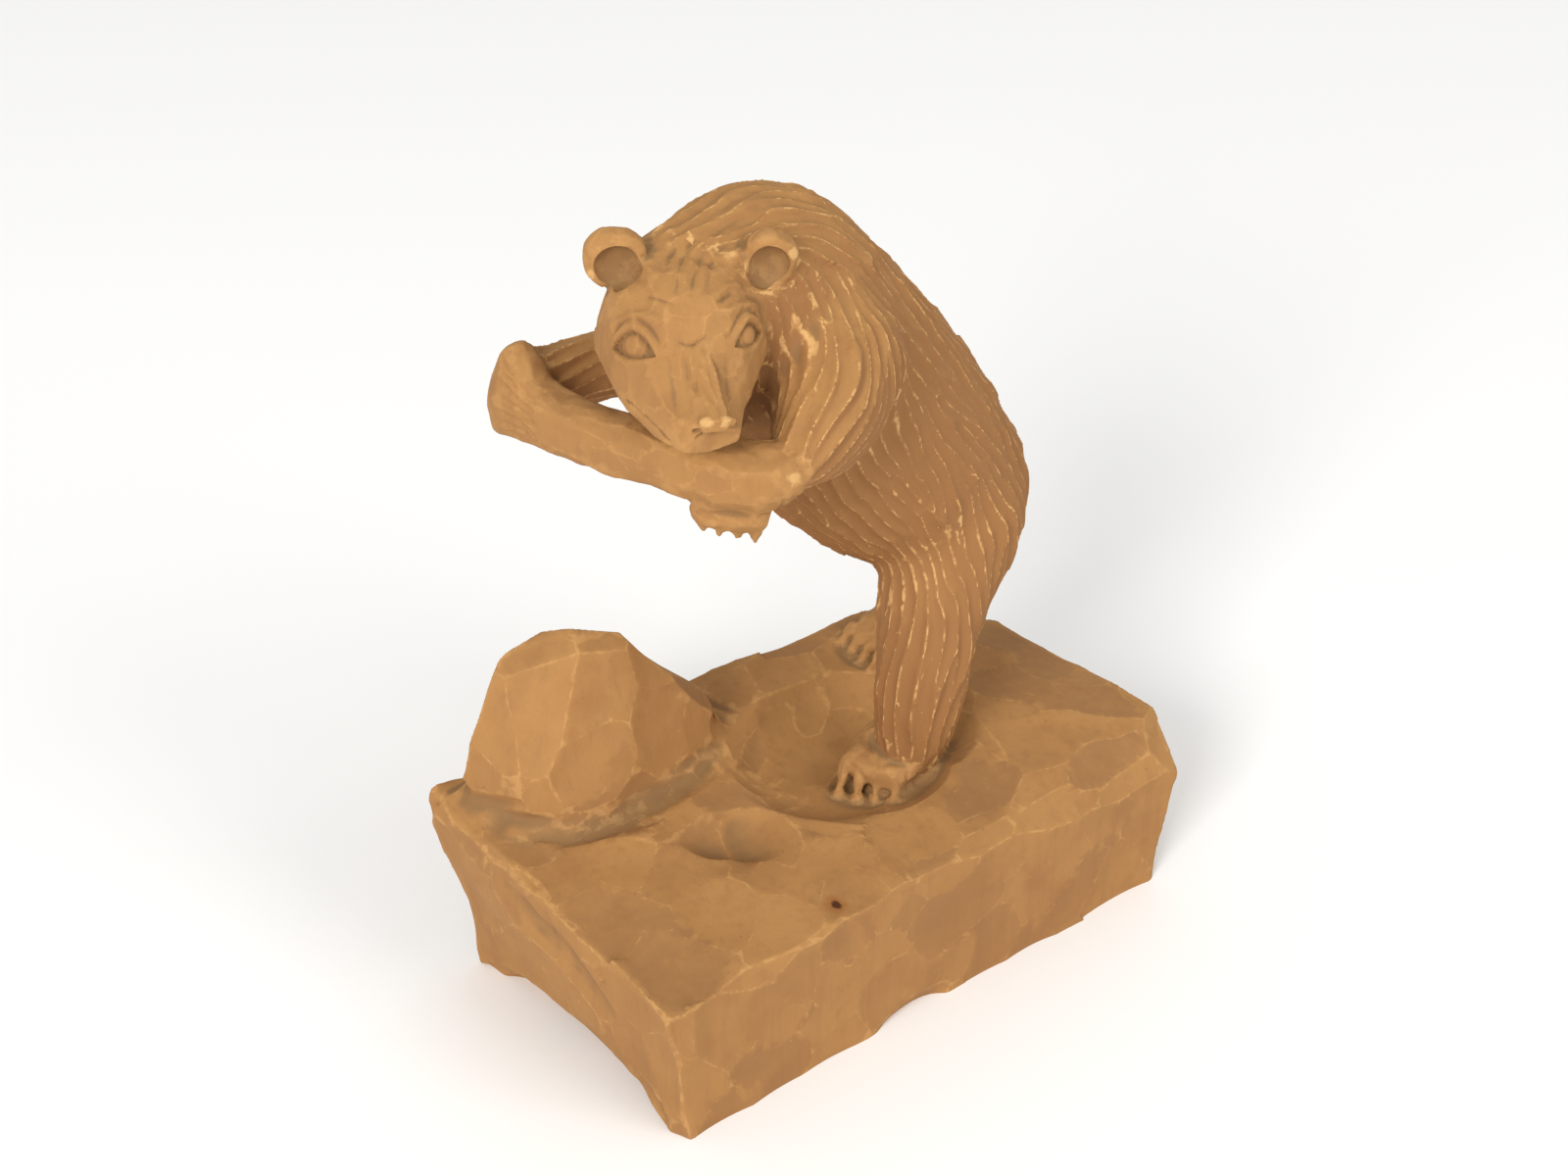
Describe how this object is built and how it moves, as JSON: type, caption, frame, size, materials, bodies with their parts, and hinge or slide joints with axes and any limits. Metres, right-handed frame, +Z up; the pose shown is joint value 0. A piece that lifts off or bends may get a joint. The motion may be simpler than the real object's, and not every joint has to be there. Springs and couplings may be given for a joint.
{
  "type": "carved bear figure",
  "caption": "Carved wooden bear on hind legs, leaning forward on folded arms over a faceted boulder and rock plinth, all cut from one block of stained wood",
  "frame": {"origin": "middle of the flat underside of the plinth, on the surface that it stands on", "axes": "+X along the plinth towards the bear's rump, +Y towards the long rear side, away from the way the bear looks, +Z up, square to the underside"},
  "size_m": [0.1614, 0.086, 0.1935],
  "materials": {
    "stained_linden_wood": "knife-carved linden, thin orange-brown stain under a dull wax, worn pale on ridges and corners, dust in the hollows"
  },
  "bodies": {
    "root": {"carved_bear": "stained_linden_wood"}
  },
  "joints": []
}
